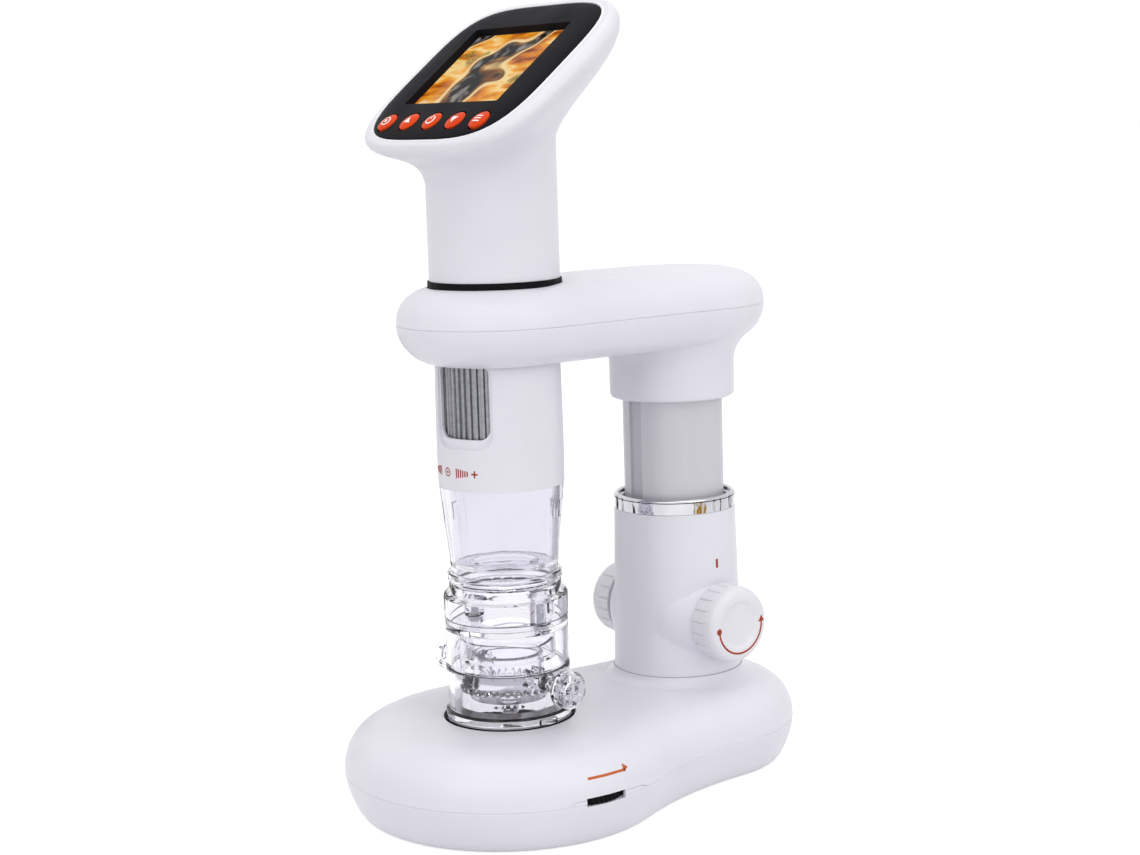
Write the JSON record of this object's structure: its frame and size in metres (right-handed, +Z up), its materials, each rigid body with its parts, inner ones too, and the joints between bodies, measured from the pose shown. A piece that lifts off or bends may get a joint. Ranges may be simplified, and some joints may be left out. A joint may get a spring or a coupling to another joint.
{
  "type": "lcd digital microscope",
  "caption": "Handheld microscope with a tilted colour screen, held in an arm on a rack-and-pinion pillar over a clear specimen chamber on a lit base.",
  "frame": {"origin": "Middle of the footprint's box on the table, at the underside of the rubber feet.", "axes": "+Z up; the user sits at -Y and the screen faces -Y and up; +X is the user's right; the handheld's axis is at y = -24.8 mm and the pillar's axis at y = +37.3 mm."},
  "size_m": [0.092, 0.1418, 0.2187],
  "materials": {
    "white_shell": "satin moulded ABS, cool white",
    "bezel_gloss": "dark grey moulded frame, semi-gloss",
    "screen_glass": "panel glass over a lit picture",
    "board_green": "solder mask",
    "screw_steel": "zinc-plated steel",
    "port_steel": "stamped steel shell",
    "switch_black": "black switch and control bodies",
    "cell_wrap": "printed shrink wrap without any wording",
    "button_orange": "orange-red caps with white signs",
    "drum_grey": "ribbed grey plastic with a soft shine",
    "black_plastic": "black moulded plastic",
    "black_rubber": "matt black rubber",
    "lens_glass": "coated glass lens",
    "led_yellow": "LED package with phosphor",
    "clear_plastic": "clear polished acrylic",
    "tube_grey": "light grey smooth tube",
    "drive_plastic": "natural acetal",
    "chrome": "chrome-plated ring",
    "diffuser_white": "translucent opal"
  },
  "bodies": {
    "stand": {"base_upper_shell": "white_shell", "base_lower_shell": "white_shell", "base_screws": "screw_steel", "rubber_feet": "black_rubber", "battery_door": "white_shell", "base_batteries": "cell_wrap", "stage_ring": "black_rubber", "light_diffuser": "diffuser_white", "stage_light_board": "board_green", "stage_leds": "led_yellow", "dimmer_control": "switch_black", "outer_column": "white_shell", "chrome_ring": "chrome", "guide_bushes": "black_plastic", "axle_bushes": "black_plastic", "column_screws": "screw_steel", "chamber_base": "clear_plastic", "chamber_body": "clear_plastic", "chamber_cap": "clear_plastic", "chamber_screws": "screw_steel"},
    "carriage": {"arm_upper_shell": "white_shell", "arm_lower_shell": "white_shell", "arm_screws": "screw_steel", "seat_ring": "black_rubber", "inner_tube": "tube_grey", "focus_rack": "drive_plastic"},
    "height_drive": {"knob_axle": "screw_steel", "drive_pinion": "drive_plastic", "right_knob": "white_shell", "left_knob": "white_shell"},
    "handheld": {"upper_housing": "white_shell", "screen_bezel": "bezel_gloss", "lcd_panel": "screen_glass", "main_board": "board_green", "board_screws": "screw_steel", "button_switches": "switch_black", "charging_port": "port_steel", "card_slot": "port_steel", "battery_cell": "cell_wrap", "lower_housing": "white_shell", "focus_barrel": "black_plastic", "ring_light_board": "board_green", "ring_light_leds": "led_yellow", "clear_tip": "clear_plastic"},
    "focus_ring": {"focus_drum": "drum_grey"},
    "lens_unit": {"lens_carrier": "black_plastic", "camera_board": "board_green", "objective_lens": "lens_glass"},
    "select_key": {"button_select": "button_orange"},
    "up_key": {"button_up": "button_orange"},
    "power_key": {"button_power": "button_orange"},
    "down_key": {"button_down": "button_orange"},
    "menu_key": {"button_menu": "button_orange"},
    "dimmer": {"dimmer_wheel": "black_rubber"},
    "specimen_table": {"turntable": "clear_plastic"},
    "right_table_knob": {"right_chamber_knob": "clear_plastic"},
    "left_table_knob": {"left_chamber_knob": "clear_plastic"}
  },
  "joints": [
    {"name": "column_slide", "type": "slide", "parent": "stand", "child": "carriage", "axis": [0, 0, 1], "range_m": [0, 0.03]},
    {"name": "height_knob_turn", "type": "hinge", "parent": "stand", "child": "height_drive", "pos_m": [0, 0.0373, 0.0438], "axis": [1, 0, 0], "range_deg": [0, 344]},
    {"name": "handheld_lift", "type": "slide", "parent": "carriage", "child": "handheld", "axis": [0, 0, 1], "range_m": [0, 0.07]},
    {"name": "focus_drum_turn", "type": "hinge", "parent": "handheld", "child": "focus_ring", "pos_m": [0, -0.0248, 0.1145], "axis": [0, 0, 1], "range_deg": [-136, 136]},
    {"name": "lens_slide", "type": "slide", "parent": "handheld", "child": "lens_unit", "axis": [0, 0, 1], "range_m": [-0.004, 0.004]},
    {"name": "select_press", "type": "slide", "parent": "handheld", "child": "select_key", "axis": [0, 0.6211, -0.7837], "range_m": [0, 0.0005], "stiffness_N_per_m": 600},
    {"name": "up_press", "type": "slide", "parent": "handheld", "child": "up_key", "axis": [0, 0.6211, -0.7837], "range_m": [0, 0.0005], "stiffness_N_per_m": 600},
    {"name": "power_press", "type": "slide", "parent": "handheld", "child": "power_key", "axis": [0, 0.6211, -0.7837], "range_m": [0, 0.0005], "stiffness_N_per_m": 600},
    {"name": "down_press", "type": "slide", "parent": "handheld", "child": "down_key", "axis": [0, 0.6211, -0.7837], "range_m": [0, 0.0005], "stiffness_N_per_m": 600},
    {"name": "menu_press", "type": "slide", "parent": "handheld", "child": "menu_key", "axis": [0, 0.6211, -0.7837], "range_m": [0, 0.0005], "stiffness_N_per_m": 600},
    {"name": "dimmer_turn", "type": "hinge", "parent": "stand", "child": "dimmer", "pos_m": [0.0356, -0.0278, 0.0127], "axis": [0, 0, 1], "range_deg": [-135, 135]},
    {"name": "turntable_turn", "type": "hinge", "parent": "stand", "child": "specimen_table", "pos_m": [0, -0.0248, 0.0299], "axis": [0, 0, 1], "continuous": true},
    {"name": "right_table_knob_turn", "type": "hinge", "parent": "stand", "child": "right_table_knob", "pos_m": [0.02, -0.0248, 0.0373], "axis": [1, 0, 0], "continuous": true},
    {"name": "left_table_knob_turn", "type": "hinge", "parent": "stand", "child": "left_table_knob", "pos_m": [-0.02, -0.0248, 0.0373], "axis": [1, 0, 0], "continuous": true}
  ],
  "couplings": [
    {"joint": "height_knob_turn", "follows": "column_slide", "rad_per_m": 200},
    {"joint": "focus_drum_turn", "follows": "lens_slide", "rad_per_m": 588.24},
    {"joint": "right_table_knob_turn", "follows": "turntable_turn", "ratio": 3.8},
    {"joint": "left_table_knob_turn", "follows": "turntable_turn", "ratio": -3.8}
  ]
}
